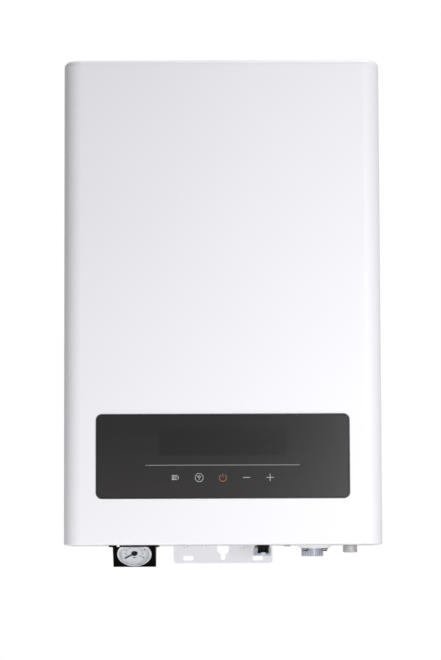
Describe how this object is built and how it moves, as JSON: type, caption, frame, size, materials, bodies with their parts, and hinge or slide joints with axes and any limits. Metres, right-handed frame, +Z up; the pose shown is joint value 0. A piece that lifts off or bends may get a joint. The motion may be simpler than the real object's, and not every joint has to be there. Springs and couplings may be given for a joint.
{
  "type": "electric boiler",
  "caption": "Wall-hung electric boiler: deep white cover with a dark touch panel, a tilted pressure gauge, a filling knob and pipe connections below.",
  "frame": {"origin": "on the wall plane, midway between the two screw slots of the hanging bracket", "axes": "+Z up, +Y into the wall so that the front faces -Y, +X to the right seen from the front"},
  "size_m": [0.4552, 0.2507, 0.7208],
  "materials": {
    "cover_white": "satin white powder coat",
    "panel_grey_white": "satin light grey coat",
    "zinc_sheet": "zinc-plated, dull",
    "screw_steel": "bright zinc",
    "panel_glass": "gloss charcoal",
    "dark_moulding": "matt near-black",
    "display_dark": "matt black",
    "circuit_green": "solder-masked board",
    "holder_black": "satin black",
    "gauge_silver": "pearl silver",
    "gauge_case_grey": "drawn steel",
    "dial_pale": "matt pale grey",
    "gauge_glass": "clear",
    "needle_black": "matt black",
    "brass": "plain brass",
    "copper": "plain copper",
    "thread_grey": "dull galvanised",
    "union_grey": "dull plated",
    "stub_steel": "turned, bright",
    "knob_black": "satin black",
    "seat_white": "satin white",
    "grommet_rubber": "black rubber",
    "vessel_steel": "welded stainless steel",
    "jacket_foam": "grey foam",
    "element_steel": "drawn stainless steel",
    "gasket_rubber": "black gasket",
    "pump_iron": "coated casting",
    "motor_enamel": "dark enamel",
    "expansion_red": "red enamel",
    "hose_braid": "steel braid",
    "cap_red": "red",
    "cap_black": "black",
    "float_white": "natural",
    "terminal_cream": "cream"
  },
  "bodies": {
    "casing": {"front_cover": "cover_white", "rear_panel": "panel_grey_white", "wall_bracket": "zinc_sheet", "bottom_plate": "cover_white", "cover_screws": "screw_steel", "underside_screws": "screw_steel", "control_glass": "panel_glass", "panel_frame": "dark_moulding", "display_module": "display_dark", "touch_board": "circuit_green", "gauge_bracket": "holder_black", "gauge_case": "gauge_case_grey", "gauge_bezel": "gauge_silver", "gauge_dial": "dial_pale", "gauge_lens": "gauge_glass", "gauge_movement": "brass", "gauge_capillary": "copper", "fill_valve_body": "brass", "fill_valve_bonnet": "brass", "return_stub": "thread_grey", "flow_union": "union_grey", "flow_seat": "seat_white", "cold_stub": "stub_steel", "fill_pipe": "copper", "cable_grommets": "grommet_rubber", "heater_tank": "vessel_steel", "tank_jacket": "jacket_foam", "heater_elements": "element_steel", "heater_gasket": "gasket_rubber", "heater_bolts": "screw_steel", "tank_saddles": "zinc_sheet", "pump_volute": "pump_iron", "pump_motor": "motor_enamel", "pump_union_nuts": "brass", "return_pipe": "copper", "riser_pipe": "copper", "flow_pipe": "copper", "air_vent_body": "brass", "air_vent_cap": "cap_black", "safety_valve_body": "brass", "safety_valve_spring": "screw_steel", "drain_pipe": "copper", "expansion_vessel": "expansion_red", "vessel_cradle": "zinc_sheet", "vessel_hose": "hose_braid", "electrical_tray": "zinc_sheet", "power_board": "circuit_green", "terminal_block": "terminal_cream", "limit_thermostat": "cap_black", "temperature_sensors": "brass"},
    "gauge_pointer": {"gauge_needle": "needle_black"},
    "fill_turn": {"fill_knob": "knob_black", "fill_spindle": "brass", "fill_knob_screw": "screw_steel"},
    "fill_lift": {"fill_plug": "brass"},
    "pump_wheel": {"pump_rotor": "element_steel"},
    "relief_turn": {"safety_valve_cap": "cap_red"},
    "relief_lift": {"safety_valve_stem": "brass"},
    "vent_float": {"air_vent_float": "float_white"},
    "reset": {"reset_button": "cap_red"}
  },
  "joints": [
    {"name": "gauge_pointer_turn", "type": "hinge", "parent": "casing", "child": "gauge_pointer", "pos_m": [-0.1275, -0.16, -0.6474], "axis": [0, 0.6756, 0.7373], "range_deg": [0, 256], "stiffness_Nm_per_rad": 0.002},
    {"name": "fill_knob_turn", "type": "hinge", "parent": "casing", "child": "fill_turn", "pos_m": [0.0577, -0.15, -0.635], "axis": [0, 0, 1], "range_deg": [0, 540]},
    {"name": "fill_plug_lift", "type": "slide", "parent": "casing", "child": "fill_lift", "axis": [0, 0, -1], "range_m": [0, 0.003]},
    {"name": "pump_spin", "type": "hinge", "parent": "casing", "child": "pump_wheel", "pos_m": [0.0577, -0.1, -0.5], "axis": [0, 1, 0], "continuous": true},
    {"name": "safety_cap_turn", "type": "hinge", "parent": "casing", "child": "relief_turn", "pos_m": [0.0954, -0.063, -0.36], "axis": [0, 0, 1], "range_deg": [0, 90]},
    {"name": "safety_stem_lift", "type": "slide", "parent": "casing", "child": "relief_lift", "axis": [0, 0, 1], "range_m": [0, 0.0025], "deforming": ["safety_valve_spring"]},
    {"name": "vent_float_rise", "type": "slide", "parent": "casing", "child": "vent_float", "axis": [0, 0, 1], "range_m": [0, 0.006]},
    {"name": "reset_press", "type": "slide", "parent": "casing", "child": "reset", "axis": [0, 1, 0], "range_m": [0, 0.0015], "stiffness_N_per_m": 300}
  ],
  "couplings": [
    {"joint": "fill_plug_lift", "follows": "fill_knob_turn", "m_per_rad": 0.000318},
    {"joint": "safety_stem_lift", "follows": "safety_cap_turn", "m_per_rad": 0.00159}
  ]
}
